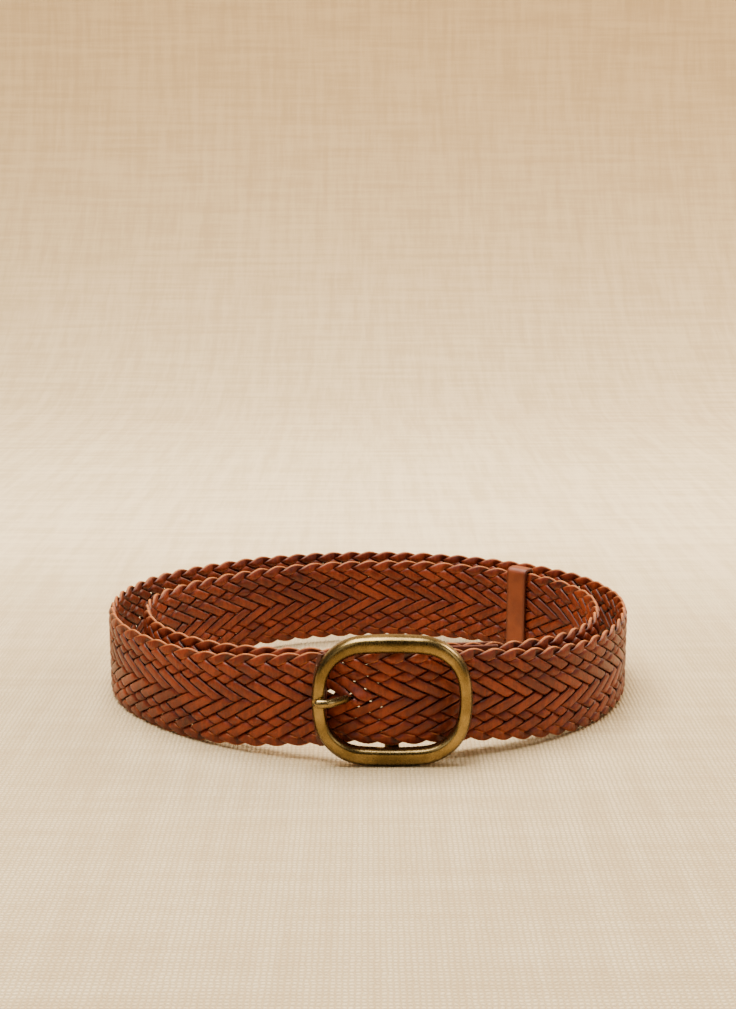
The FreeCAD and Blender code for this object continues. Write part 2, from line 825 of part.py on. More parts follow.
for item in doc.Objects:
    if "Invalid" in item.State or "Error" in item.State:
        raise RuntimeError("%s did not recompute: %s" % (item.Label, item.State))
for item in subparts:
    if item.Shape.isNull() or not item.Shape.isValid():
        raise RuntimeError("%s has no valid shape" % item.Label)

os.makedirs("parts", exist_ok=True)
for item in subparts:
    item.Shape.exportStep(os.path.join("parts", item.Label + ".step"))
    box = item.Shape.BoundBox
    print("%-20s %9.1f mm3  x %7.2f %7.2f  y %7.2f %7.2f  z %6.2f %6.2f" % (
        item.Label, item.Shape.Volume, box.XMin, box.XMax, box.YMin, box.YMax, box.ZMin, box.ZMax))
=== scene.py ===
import math

import bpy
import numpy as np
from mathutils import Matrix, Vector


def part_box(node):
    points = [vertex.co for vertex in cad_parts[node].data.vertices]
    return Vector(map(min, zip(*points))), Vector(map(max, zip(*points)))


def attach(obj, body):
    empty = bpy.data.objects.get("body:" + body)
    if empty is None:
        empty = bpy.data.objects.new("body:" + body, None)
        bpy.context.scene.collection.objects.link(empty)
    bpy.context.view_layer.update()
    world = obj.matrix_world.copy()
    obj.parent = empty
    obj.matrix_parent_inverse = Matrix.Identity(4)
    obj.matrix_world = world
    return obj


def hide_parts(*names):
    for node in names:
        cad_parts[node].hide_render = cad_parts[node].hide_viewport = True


# The looks of the braided belt. The belt's lengths are millimetres, turned to metres by MM. Those of
# the surroundings, the lights and the camera are metres.
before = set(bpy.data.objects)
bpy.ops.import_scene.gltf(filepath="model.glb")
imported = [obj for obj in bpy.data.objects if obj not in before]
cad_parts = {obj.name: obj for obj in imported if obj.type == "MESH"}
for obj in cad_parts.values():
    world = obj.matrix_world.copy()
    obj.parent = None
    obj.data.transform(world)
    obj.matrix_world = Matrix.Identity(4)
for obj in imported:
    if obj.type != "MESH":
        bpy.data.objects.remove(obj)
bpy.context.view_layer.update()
MM = 0.001
rng = np.random.default_rng(21)

# ------------------------------------------------------------------------------------------
# The strap's path, repeated from the CAD model

STRAP_WIDTH = 35.0
STRAP_THICKNESS = 3.2
PRESSED_THICKNESS = 2.2
BUCKLE_X = 8.5
BAR_Y = -78.95
BAR_RADIUS = 1.6
FRONT_BULGE = 3.0
BULGE_REACH = 32.0
LIFTED_BASE = 6.65
LIFT_FLAT = 10.0
LIFT_REACH = 80.0
TAB_LENGTH = 37.5
TAB_THICKNESS = 1.3
TAB_INSET = 0.5
TAB_FIT = 0.05
BRAID_IN_TAB = 24.0
TAB_CORNER = 0.4
# How far from the bar the tab is open for the prong's ring.
TAB_OPENING_REACH = 4.2
# Just outside the tab and the cap the braid swells from its pressed to its full thickness.
PRESS_MARGIN = 1.0
PRESS_REACH = 3.0
CAP_LENGTH = 3.0
CAP_THICKNESS = 0.8
CAP_INSET = 0.4
MOUTH_CUT = 0.75
CAP_FOLD_GAP = 0.4
CAP_CORNER = 0.3
STRAP_END_X = -16.2
KEEPER_ANGLE = 54.0
KEEPER_WIDTH = 9.5
KEEPER_THICKNESS = 1.5
KEEPER_SIDE_GAP = 0.35
KEEPER_END_GAP = 0.3
KEEPER_BEND = 1.6
KEEPER_CORNER = 0.45
KEEPER_CROWN = 0.12
KEEPER_WORN = 0.9
KEEPER_WORN_FADE = 0.8
SLOT_HEIGHT = 3.6
BUCKLE_MIDDLE_Z = 24.15


def smooth(fraction):
    """Smooth step from 0 to 1 as the fraction goes from 0 to 1."""
    fraction = np.clip(fraction, 0.0, 1.0)
    return fraction * fraction * (3 - 2 * fraction)


def quarter_radii(width, depth, flat):
    """Radii of the flat and the tight arc that together turn 90 degrees."""
    s, c = math.sin(math.radians(flat)), math.cos(math.radians(flat))
    scale = s * c - (1 - s) * (1 - c)
    return (width * c - depth * (1 - s)) / scale, (depth * s - width * (1 - c)) / scale


# In how many places a turn is searched for the one with a wanted x.
SEARCH_MARKS = 4001


class Turn:
    """One turn of the coil, a chain of tangent arcs from the front anticlockwise to the front."""

    def __init__(self, start, right, back, left, end, flats, base):
        quarters = [
            quarter_radii(right[0] - start[0], right[1] - start[1], flats[0]),
            quarter_radii(right[0] - back[0], back[1] - right[1], flats[1]),
            quarter_radii(back[0] - left[0], back[1] - left[1], flats[2]),
            quarter_radii(end[0] - left[0], left[1] - end[1], flats[3]),
        ]
        self.base = base
        self.begin, self.centre, self.radius, self.normal = [], [], [], []
        (x, y), normal, distance = start, -math.pi / 2, 0.0
        for index, radii in enumerate(quarters):
            pair = [(radii[0], flats[index]), (radii[1], 90 - flats[index])]
            for radius, degrees in pair[::-1] if index in (1, 3) else pair:
                centre = (x - radius * math.cos(normal), y - radius * math.sin(normal))
                self.begin.append(distance)
                self.centre.append(centre)
                self.radius.append(radius)
                self.normal.append(normal)
                distance += radius * math.radians(degrees)
                normal += math.radians(degrees)
                x = centre[0] + radius * math.cos(normal)
                y = centre[1] + radius * math.sin(normal)
        self.length = distance
        self.begin, self.centre = np.array(self.begin), np.array(self.centre)
        self.radius, self.normal = np.array(self.radius), np.array(self.normal)

    def at(self, distance):
        """Position and outward normal angle at distances along the turn."""
        index = np.clip(np.searchsorted(self.begin, distance, side="right") - 1, 0, len(self.begin) - 1)
        angle = self.normal[index] + (distance - self.begin[index]) / self.radius[index]
        x = self.centre[index, 0] + self.radius[index] * np.cos(angle)
        y = self.centre[index, 1] + self.radius[index] * np.sin(angle)
        return x, y, angle

    def distance_at_x(self, wanted, low, high):
        """Distance between low and high where x reaches the wanted value."""
        marks = np.linspace(low, high, SEARCH_MARKS)
        return float(marks[np.argmin(np.abs(self.at(marks)[0] - wanted))])


FRONT = (BUCKLE_X, -80.8)
inner_turn = Turn(
    (BUCKLE_X, -76.0), (92.0, -0.5), (6.5, 64.7), (-88.8, -1.5), FRONT, (50.0, 42.0, 56.0, 50.0), 2.0
)
outer_turn = Turn(
    FRONT, (104.4, 9.5), (1.5, 90.0), (-104.4, 8.5), (BUCKLE_X, -84.8), (45.0, 42.0, 42.0, 52.0), 0.0
)
strap_start = inner_turn.distance_at_x(BUCKLE_X + TAB_LENGTH - BRAID_IN_TAB, 0, inner_turn.begin[2])
tab_end = inner_turn.distance_at_x(BUCKLE_X + TAB_LENGTH, 0, inner_turn.begin[2])
strap_end = outer_turn.distance_at_x(STRAP_END_X, outer_turn.begin[6], outer_turn.length)


def bottom_edge(base, x, y):
    """Height of the strap's lower edge, which rises towards the buckle."""
    rise = smooth((LIFT_REACH - np.abs(x - BUCKLE_X)) / (LIFT_REACH - LIFT_FLAT))
    return base + (LIFTED_BASE - base) * np.where(y > 0, 0.0, rise)


def strap_frame(u):
    """Middle, outward normal and lower edge of the strap at distance u from the bar.

    u is negative on the inner turn and positive on the outer one."""
    inner = inner_turn.at(inner_turn.length + np.minimum(u, 0.0))
    outer = outer_turn.at(np.maximum(u, 0.0))
    x, y, angle = (np.where(u < 0, *pair) for pair in zip(inner, outer))
    low = np.where(u < 0, bottom_edge(inner_turn.base, x, y), bottom_edge(outer_turn.base, x, y))
    bulge = FRONT_BULGE * (1 + np.cos(np.pi * np.clip(u / BULGE_REACH, -1, 1))) / 2
    nx, ny = np.cos(angle), np.sin(angle)
    return x + bulge * nx, y + bulge * ny, nx, ny, low


def on_strap(u, across, out):
    """World points, in metres, from distance along, height from the middle and offset outward."""
    x, y, nx, ny, low = strap_frame(u)
    return MM * np.stack([x + out * nx, y + out * ny, low + STRAP_WIDTH / 2 + across], axis=-1)


def press(u):
    """Share of the full thickness: the braid is pressed thin in the tab and in the end cap."""
    from_tab = u + inner_turn.length - tab_end
    to_cap = strap_end - CAP_LENGTH - u
    share = smooth((from_tab - PRESS_MARGIN) / PRESS_REACH) * smooth((to_cap - PRESS_MARGIN) / PRESS_REACH)
    thin = PRESSED_THICKNESS / STRAP_THICKNESS
    return thin + (1 - thin) * share


# ------------------------------------------------------------------------------------------
# Meshes

def make_object(name, vertices, faces, attributes=None):
    """Mesh object from points and faces, smooth shaded, with per-vertex attributes."""
    mesh = bpy.data.meshes.new(name)
    mesh.from_pydata([tuple(v) for v in vertices], [], faces)
    for key, values in (attributes or {}).items():
        layer = mesh.attributes.new(key, "FLOAT", "POINT")
        layer.data.foreach_set("value", np.asarray(values, dtype=np.float32))
    mesh.polygons.foreach_set("use_smooth", [True] * len(mesh.polygons))
    mesh.update()
    item = bpy.data.objects.new(name, mesh)
    bpy.context.scene.collection.objects.link(item)
    return item


def tube_faces(rings, around, closed=False):
    """Quads that join rings of points, with end faces unless the tube is closed on itself."""
    faces = []
    for ring in range(rings if closed else rings - 1):
        here, there = ring * around, (ring + 1) % rings * around
        for step in range(around):
            following = (step + 1) % around
            faces.append((here + step, there + step, there + following, here + following))
    if not closed:
        faces.append(tuple(range(around)))
        faces.append(tuple(range(rings * around - 1, (rings - 1) * around - 1, -1)))
    return faces


# ------------------------------------------------------------------------------------------
# The braid: fifteen flat laces in a herringbone

LACES = 15
PITCH = 8.45
HALF_PITCH = PITCH / 2
LACE_WIDTH = 3.62
LACE_THICKNESS = 1.35
LACE_LIFT = 0.92
TURN_ROUNDING = 0.6
STEPS_PER_PITCH = 10
# Uneven hand work: how far a lace strays and how much its width varies, and over what length.
STRAY, STRAY_SPACING = 0.07, 9.0
WIDTH_CHANGE, WIDTH_SPACING = 0.02, 14.0
# The laces are a little narrower along the strap's middle, within some rows of it.
MIDDLE_NARROWING, MIDDLE_ROWS = 0.07, 1.6
# Raw cut edges show from this many rows above or below the middle.
RAW_EDGE_ROWS = 6.0
# Share of the way between two crossings in which a lace goes from over to under.
CROSSING_SHARE = 0.62
# Which way the lace on top runs in each row of crossings, from the lower edge to the upper one:
# 1 is rising to the right, -1 is falling to the right.
ROWS = (-1, 1, 1, -1, 1, 1, 1, -1, -1, -1, 1, -1, -1, 1)
# Rows 0 and 15 are the strap's edges, where the laces turn.
BRAID_HALF = (STRAP_WIDTH / 2 - LACE_WIDTH / 2) / (1 - TURN_ROUNDING * 2 / LACES)
ROW_PITCH = 2 * BRAID_HALF / LACES

# The prong comes through the braid to the left of the bar, where the laces part.
PRONG_MIDDLE_U = -21.0
PARTING_REACH = 7.0
PARTING = 1.5
PARTING_START = 1.2
PARTING_FADE = 5.0
# Farther right, where the prong is still close to the strap, the laces on top ride over it.
COVER_MIDDLE_U = -12.0
COVER_REACH = 4.5
COVER_HALF_HEIGHT = 3.0
COVER_RISE = 3.4
COVER_STATE = 0.6

# A lace's section: place across, place through the thickness, and how much raw cut edge it shows.
LACE_SECTION = (
    (-1.0, 0.22, 1.0), (-0.93, 0.58, 0.8), (-0.72, 0.85, 0.0), (-0.38, 1.03, 0.0), (0.0, 1.10, 0.0),
    (0.38, 1.03, 0.0), (0.72, 0.85, 0.0), (0.93, 0.58, 0.8), (1.0, 0.22, 1.0), (1.0, -0.22, 1.0),
    (0.93, -0.58, 0.8), (0.72, -0.85, 0.0), (0.38, -1.03, 0.0), (0.0, -1.10, 0.0), (-0.38, -1.03, 0.0),
    (-0.72, -0.85, 0.0), (-0.93, -0.58, 0.8), (-1.0, -0.22, 1.0),
)


def lace_states():
    """Over (1) or under (-1) at each crossing of one zigzag: up through the rows, then down."""
    rising = list(ROWS)
    falling = [-row for row in reversed(ROWS)]
    return np.array([0] + rising + [0] + falling + [0], dtype=float)


STATES = lace_states()


def crossing_height(place):
    """Offset of a lace from the strap's middle, from -1 to 1, at a place along its zigzag."""
    place = np.mod(place, 2 * LACES)
    before = np.floor(place).astype(int)
    share = place - before
    first, second = STATES[before], STATES[before + 1]
    beside_edge = np.isin(before % LACES, (0, LACES - 1))
    sharp = smooth((share - 0.5) / CROSSING_SHARE + 0.5)
    return first + (second - first) * np.where(beside_edge, share, sharp)


def gentle_noise(positions, spacing, strength):
    """Seeded smooth wobble along a lace."""
    knots = np.arange(positions[0] - spacing, positions[-1] + 2 * spacing, spacing)
    return np.interp(positions, knots, rng.normal(0.0, strength, len(knots)))


def parted(u, across):
    """How far, up or down, the laces are pushed aside round the prong, at a place on the strap."""
    near = np.exp(-((u - PRONG_MIDDLE_U) / PARTING_REACH) ** 2)
    return PARTING * near * np.tanh(across / PARTING_START) * np.exp(-np.abs(across) / PARTING_FADE)


def over_prong(u, across, state):
    """How far outward a lace on top is lifted where it covers the prong."""
    near = np.exp(-((u - COVER_MIDDLE_U) / COVER_REACH) ** 2 - (across / COVER_HALF_HEIGHT) ** 2)
    return COVER_RISE * near * smooth((state + COVER_STATE) / (2 * COVER_STATE))


def lace(index):
    """One lace of the braid, from the tab to the end cap."""
    step = PITCH / STEPS_PER_PITCH
    u = np.arange(strap_start - inner_turn.length, strap_end, step)
    zigzag = np.mod(u / HALF_PITCH - 2 * index, 2 * LACES)
    # Height in rows: a triangle wave with rounded turns at both edges of the strap.
    from_top = zigzag - LACES
    from_bottom = np.minimum(zigzag, 2 * LACES - zigzag)
    below_top = np.sqrt(from_top ** 2 + TURN_ROUNDING ** 2)
    above_bottom = np.sqrt(from_bottom ** 2 + TURN_ROUNDING ** 2)
    in_upper_half = np.abs(from_top) < LACES / 2
    row = np.where(in_upper_half, LACES - below_top, above_bottom)
    way = np.where(zigzag < LACES, 1, -1)
    slope = np.where(in_upper_half, -from_top / below_top, way * from_bottom / above_bottom)
    across = (row / LACES * 2 - 1) * BRAID_HALF + gentle_noise(u, STRAY_SPACING, STRAY)
    across = across + parted(u, across)
    du, dw = HALF_PITCH, ROW_PITCH * slope
    length = np.hypot(du, dw)
    side_u, side_w = -dw / length, du / length
    narrowed = 1 - MIDDLE_NARROWING * np.exp(-((row - LACES / 2) / MIDDLE_ROWS) ** 2)
    width = LACE_WIDTH * (1 + gentle_noise(u, WIDTH_SPACING, WIDTH_CHANGE)) * narrowed
    points, rims, overs = [], [], []
    for sideways, outward, rim in LACE_SECTION:
        vertex_u = u + sideways * width / 2 * side_u
        vertex_w = across + sideways * width / 2 * side_w
        # A lace steps from over to under along the edge of the lace that it crosses. So a vertex's place
        # on the zigzag is read along the crossing lace that it lies under or over.
        vertex_row = (vertex_w / BRAID_HALF + 1) * LACES / 2
        half_steps = vertex_u / HALF_PITCH - 2 * index
        lap = np.floor((u / HALF_PITCH - 2 * index) / (2 * LACES)) * 2 * LACES
        rising_place = (vertex_row + half_steps - lap) / 2
        falling_place = 2 * LACES - (vertex_row - half_steps + lap + 2 * LACES) / 2
        place = np.where(zigzag < LACES, rising_place, falling_place)
        state = crossing_height(place)
        squeeze = press(vertex_u)
        flat_out = (state * LACE_LIFT + outward * LACE_THICKNESS / 2) * squeeze
        out = flat_out + over_prong(vertex_u, vertex_w, state)
        points.append(on_strap(vertex_u, vertex_w, out))
        rims.append(np.full(len(u), rim))
        # The over value also drives painted shade in the lace material: darker under the crossings, lighter
        # on top.
        overs.append(state * np.sign(outward))
    points = np.stack(points, axis=1).reshape(-1, 3)
    attributes = {
        "rim": np.stack(rims, axis=1).ravel(),
        "lace_tone": np.full(len(points), rng.uniform(-1, 1)),
        "over": np.stack(overs, axis=1).ravel(),
        "turning": np.repeat(smooth(np.abs(row - LACES / 2) - RAW_EDGE_ROWS), len(LACE_SECTION)),
    }
    item = make_object("lace_%02d" % (index + 1), points, tube_faces(len(u), len(LACE_SECTION)), attributes)
    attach(item, "strap")
    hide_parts("braided_strap")
    return item


laces = [lace(index) for index in range(LACES)]

# ------------------------------------------------------------------------------------------
# Plain leather pieces: the folded tab, the end cap and the keeper

# Corners of an upright section, anticlockwise: side, up or down, and the angle its arc starts at.
CORNERS = ((1, 1, 0), (-1, 1, 90), (-1, -1, 180), (1, -1, 270))
SECTION_STEP = 1.5


def rounded_section(thickness, low, high, corner):
    """Closed outline of a leather edge-on strip: points of (offset through it, height)."""
    half = thickness / 2
    outline = []
    for sign_out, sign_up, first in CORNERS:
        middle_out = sign_out * (half - corner)
        middle_up = high - corner if sign_up > 0 else low + corner
        for degrees in (first, first + 30, first + 60, first + 90):
            angle = math.radians(degrees)
            outline.append((middle_out + corner * math.cos(angle), middle_up + corner * math.sin(angle)))
    rows = max(2, int((high - low) / SECTION_STEP))
    rise = (high - low - 2 * corner) / rows
    outside = [(half, low + corner + rise * row) for row in range(1, rows)]
    inside = [(-half, high - corner - rise * row) for row in range(1, rows)]
    corners = len(outline) // 4
    return outside + outline[:2 * corners] + inside + outline[2 * corners:]


def swept_strip(line, lows, thickness, low, high, corner):
    """Points and faces of a strip along a line of (x, y), its section upright, low to high above lows."""
    section = rounded_section(thickness, low, high, corner)
    ahead = np.gradient(line, axis=0)
    ahead /= np.linalg.norm(ahead, axis=1)[:, None]
    normal = np.stack([ahead[:, 1], -ahead[:, 0]], axis=1)
    points = [
        (x + out * nx, y + out * ny, base + up)
        for (x, y), (nx, ny), base in zip(line, normal, lows)
        for out, up in section
    ]
    return points, tube_faces(len(line), len(section))


def joined_strips(name, strips):
    """One mesh object from several strips' points and faces."""
    points, faces = [], []
    for strip_points, strip_faces in strips:
        faces += [tuple(corner + len(points) for corner in face) for face in strip_faces]
        points += strip_points
    return make_object(name, MM * np.array(points), faces)


PLY_MARKS = 24
FOLD_STEP = 12
TAB_POINTS = 110
TAB_ROUNDINGS = 3


def tab_line():
    """Middle line of the tab: its front ply, the fold round the bar and its back ply."""
    ply = PRESSED_THICKNESS / 2 + TAB_FIT + TAB_THICKNESS / 2
    fold_radius = BAR_RADIUS + TAB_FIT + TAB_THICKNESS / 2
    marks = np.linspace(tab_end, strap_start, PLY_MARKS)
    x, y, angle = inner_turn.at(marks)
    outward = np.stack([np.cos(angle), np.sin(angle)], axis=1)
    middle = np.stack([x, y], axis=1)
    turns = np.radians(np.arange(-90, -271, -FOLD_STEP))
    fold = np.array([BUCKLE_X, BAR_Y]) + fold_radius * np.stack([np.cos(turns), np.sin(turns)], axis=1)
    corners = np.concatenate([middle + ply * outward, fold, (middle - ply * outward)[::-1]])
    # Even out the spacing, which leaves rounded joints between the plies and the fold.
    distance = np.concatenate([[0], np.cumsum(np.linalg.norm(np.diff(corners, axis=0), axis=1))])
    even = np.linspace(0, distance[-1], TAB_POINTS)
    line = np.stack([np.interp(even, distance, corners[:, axis]) for axis in (0, 1)], axis=1)
    for _ in range(TAB_ROUNDINGS):
        line[1:-1] = (line[:-2] + 2 * line[1:-1] + line[2:]) / 4
    return line


def buckle_tab():
    """The folded tab, open on its centre line at the fold, where the prong's ring sits."""
    line = tab_line()
    lows = bottom_edge(inner_turn.base, line[:, 0], line[:, 1])
    opened = line[:, 0] < BUCKLE_X + TAB_OPENING_REACH
    first, last = int(np.argmax(opened)), len(line) - int(np.argmax(opened[::-1]))
    top, corner = STRAP_WIDTH - TAB_INSET, TAB_CORNER
    slot_low, slot_high = BUCKLE_MIDDLE_Z - SLOT_HEIGHT / 2, BUCKLE_MIDDLE_Z + SLOT_HEIGHT / 2
    base = float(lows[first:last].mean())
    strips = [
        swept_strip(line[:first + 1], lows[:first + 1], TAB_THICKNESS, TAB_INSET, top, corner),
        swept_strip(line[first:last], lows[first:last], TAB_THICKNESS, TAB_INSET, slot_low - base, corner),
        swept_strip(line[first:last], lows[first:last], TAB_THICKNESS, slot_high - base, top, corner),
        swept_strip(line[last - 1:], lows[last - 1:], TAB_THICKNESS, TAB_INSET, top, corner),
    ]
    tab = joined_strips("leather_tab", strips)
    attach(tab, "strap")
    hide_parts("buckle_tab")
    return tab


CAP_MARKS = 8
CAP_FOLD_STEP = 15


def end_cap():
    """The short cap folded round the strap's free end."""
    ply = PRESSED_THICKNESS / 2 + TAB_FIT + CAP_THICKNESS / 2
    marks = np.linspace(strap_end - CAP_LENGTH, strap_end - CAP_FOLD_GAP, CAP_MARKS)
    x, y, nx, ny, low = strap_frame(marks)
    middle, outward = np.stack([x, y], axis=1), np.stack([nx, ny], axis=1)
    last_normal = math.atan2(ny[-1], nx[-1])
    turns = last_normal + np.radians(np.arange(CAP_FOLD_STEP, 180, CAP_FOLD_STEP))
    fold = middle[-1] + ply * np.stack([np.cos(turns), np.sin(turns)], axis=1)
    line = np.concatenate([middle + ply * outward, fold, (middle - ply * outward)[::-1]])
    lows = np.concatenate([low, np.full(len(fold), low[-1]), low[::-1]])
    points, faces = swept_strip(line, lows, CAP_THICKNESS, CAP_INSET, STRAP_WIDTH - CAP_INSET, CAP_CORNER)
    # Towards its two corners the cap's mouth is cut back in a curve.
    end_x, mid_z = float(x[-1]), float(low[-1]) + STRAP_WIDTH / 2
    tapered = []
    for place_x, place_y, place_z in points:
        share = 1 - MOUTH_CUT * abs((place_z - mid_z) / (STRAP_WIDTH / 2)) ** 3
        if place_x < end_x:
            place_x = end_x + (place_x - end_x) * share
        tapered.append((place_x, place_y, place_z))
    cap = joined_strips("leather_cap", [(tapered, faces)])
    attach(cap, "strap")
    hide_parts("end_cap")
    return cap


KEEPER_ROWS = 24
BEND_STEP = 15
# Across the band's outer face, from one edge to the other, as shares of its half width.
CROWN_PLACES = (-0.7, -0.35, 0, 0.35, 0.7)
CORNER_TURNS = (80, 45, 10)


def keeper():
    """The keeper: a band of leather that loops round the strap at the back of the inner turn."""
    centre, radius = inner_turn.centre[3], inner_turn.radius[3]
    half_out = STRAP_THICKNESS / 2 + KEEPER_SIDE_GAP + KEEPER_THICKNESS / 2
    half_up = STRAP_WIDTH / 2 + KEEPER_END_GAP + KEEPER_THICKNESS / 2
    bend, loop = KEEPER_BEND, []
    for sign_out, sign_up, first in CORNERS:
        for degrees in range(first, first + 91, BEND_STEP):
            angle = math.radians(degrees)
            loop.append((
                sign_out * (half_out - bend) + bend * math.cos(angle),
                sign_up * (half_up - bend) + bend * math.sin(angle),
                angle,
            ))
    rise = 2 * (half_up - bend) / KEEPER_ROWS
    outside = [(half_out, -half_up + bend + rise * row, 0.0) for row in range(1, KEEPER_ROWS)]
    inside = [(-half_out, half_up - bend - rise * row, math.pi) for row in range(1, KEEPER_ROWS)]
    halfway = len(loop) // 2
    loop = outside + loop[:halfway] + inside + loop[halfway:]
    # The band's own section: place along the strap and place through the leather, with worn edges.
    half_wide, half_thick, corner = KEEPER_WIDTH / 2, KEEPER_THICKNESS / 2, KEEPER_CORNER
    section = [
        (half_wide * place, half_thick + KEEPER_CROWN * (1 - place * place)) for place in CROWN_PLACES
    ]
    for sign_along, sign_through in ((1, 1), (1, -1), (-1, -1), (-1, 1)):
        turns = CORNER_TURNS if sign_along * sign_through > 0 else CORNER_TURNS[::-1]
        for degrees in turns:
            angle = math.radians(degrees)
            section.append((
                sign_along * (half_wide - corner + corner * math.cos(angle)),
                sign_through * (half_thick - corner + corner * math.sin(angle)),
            ))
    points, edge = [], []
    middle_z = inner_turn.base + STRAP_WIDTH / 2
    for out, up, facing in loop:
        for along, through in section:
            theta = math.radians(KEEPER_ANGLE) + along / radius
            reach = radius + out + through * math.cos(facing)
            points.append((
                centre[0] + reach * math.cos(theta),
                centre[1] + reach * math.sin(theta),
                middle_z + up + through * math.sin(facing),
            ))
            edge.append(smooth((abs(along) - half_wide + KEEPER_WORN) / KEEPER_WORN_FADE))
    faces = tube_faces(len(loop), len(section), closed=True)
    band = make_object("keeper_loop", MM * np.array(points), faces, {"rim": edge})
    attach(band, "keeper")
    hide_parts("keeper_band")
    return band


tab_piece = buckle_tab()
cap_piece = end_cap()
keeper_piece = keeper()


# ------------------------------------------------------------------------------------------
# Materials

class Nodes:
    """A small helper that adds nodes to one material and joins them."""

    def __init__(self, name):
        self.material = bpy.data.materials.new(name)
        self.material.use_nodes = True
        self.tree = self.material.node_tree
        self.shader = self.tree.nodes["Principled BSDF"]

    def add(self, kind, links=None, **values):
        """Adds a node; values set its inputs or properties, links join sockets to its inputs."""
        node = self.tree.nodes.new(kind)
        for key, value in values.items():
            socket = key.replace("_", " ")
            if socket in node.inputs:
                node.inputs[socket].default_value = value
            else:
                setattr(node, key, value)
        for key, socket in (links or {}).items():
            self.tree.links.new(socket, node.inputs[key])
        return node

    def join(self, socket, name):
        """Joins a socket to the main shader's named input."""
        self.tree.links.new(socket, self.shader.inputs[name])

    def place(self, scale=(1, 1, 1)):
        """Object coordinates, stretched by a scale."""
        coordinates = self.add("ShaderNodeTexCoord")
        mapping = self.add("ShaderNodeMapping", {"Vector": coordinates.outputs["Object"]})
        mapping.inputs["Scale"].default_value = scale
        return mapping.outputs["Vector"]

    def noise(self, where, scale, detail=3.0, roughness=0.5):
        """Noise value from 0 to 1."""
        values = {"Scale": scale, "Detail": detail, "Roughness": roughness}
        return self.add("ShaderNodeTexNoise", {"Vector": where}, **values).outputs["Fac"]

    def attribute(self, name):
        """A per-vertex value of the mesh."""
        return self.add("ShaderNodeAttribute", attribute_name=name).outputs["Fac"]

    def maths(self, operation, first, second, clamp=False):
        """Arithmetic on two sockets or numbers."""
        node = self.add("ShaderNodeMath", operation=operation, use_clamp=clamp)
        for index, value in enumerate((first, second)):
            if isinstance(value, (int, float)):
                node.inputs[index].default_value = value
            else:
                self.tree.links.new(value, node.inputs[index])
        return node.outputs["Value"]

    def ramp(self, value, low, high, to_low=0.0, to_high=1.0):
        """Smooth change from one number to another as the value goes from low to high."""
        node = self.add("ShaderNodeMapRange", {"Value": value}, interpolation_type="SMOOTHSTEP")
        for key, number in (("From Min", low), ("From Max", high), ("To Min", to_low), ("To Max", to_high)):
            node.inputs[key].default_value = number
        return node.outputs["Result"]

    def mix(self, share, first, second):
        """Blend of two colours, each a socket or a tuple."""
        node = self.add("ShaderNodeMix", data_type="RGBA")
        for key, value in ((0, share), (6, first), (7, second)):
            if isinstance(value, tuple):
                node.inputs[key].default_value = (*value, 1.0)
            elif isinstance(value, (int, float)):
                node.inputs[key].default_value = value
            else:
                self.tree.links.new(value, node.inputs[key])
        return node.outputs[2]

    def bump(self, height, strength, depth, under=None):
        """Normal from a height, laid over another bump if one is given."""
        node = self.add("ShaderNodeBump", {"Height": height}, Strength=strength, Distance=depth)
        if under is not None:
            self.tree.links.new(under, node.inputs["Normal"])
        return node.outputs["Normal"]


# Scales of noise are in features per metre, depths of bumps in metres and colours linear.
PORE_SCALE, PORE_DEPTH = 1900.0, 0.00012
WRINKLE_SCALE, WRINKLE_DEPTH = 420.0, 0.0003
FINE_SCALE, FINE_DEPTH = 3200.0, 0.00006


def leather_grain(nodes, where, pores, wrinkles, under=None):
    """Normal of fine pores over soft wrinkles, laid over another bump if one is given."""
    cells = nodes.add("ShaderNodeTexVoronoi", {"Vector": where}, Scale=PORE_SCALE, feature="F1")
    soft = nodes.noise(where, WRINKLE_SCALE, 4.0, 0.6)
    fine = nodes.noise(where, FINE_SCALE, 2.0)
    under = nodes.bump(soft, wrinkles, WRINKLE_DEPTH, under)
    under = nodes.bump(cells.outputs["Distance"], pores, PORE_DEPTH, under)
    return nodes.bump(fine, 0.25, FINE_DEPTH, under)


LACE_DEEP_AND_SHADE = (0.028, 0.0030, 0.0007)
LACE_MIDDLE = (0.108, 0.0112, 0.0012)
LACE_LIGHT = (0.225, 0.0310, 0.0038)
CUT_EDGE = (0.560, 0.170, 0.0360)
RUBBED_EDGE = (0.360, 0.085, 0.0160)
LACE_PATCH_SCALE = 55.0
STREAK_SCALE = 700.0
STREAK_DEPTH = 0.0003
RUB_SCALE = 240.0
RAW_SCALE = 900.0


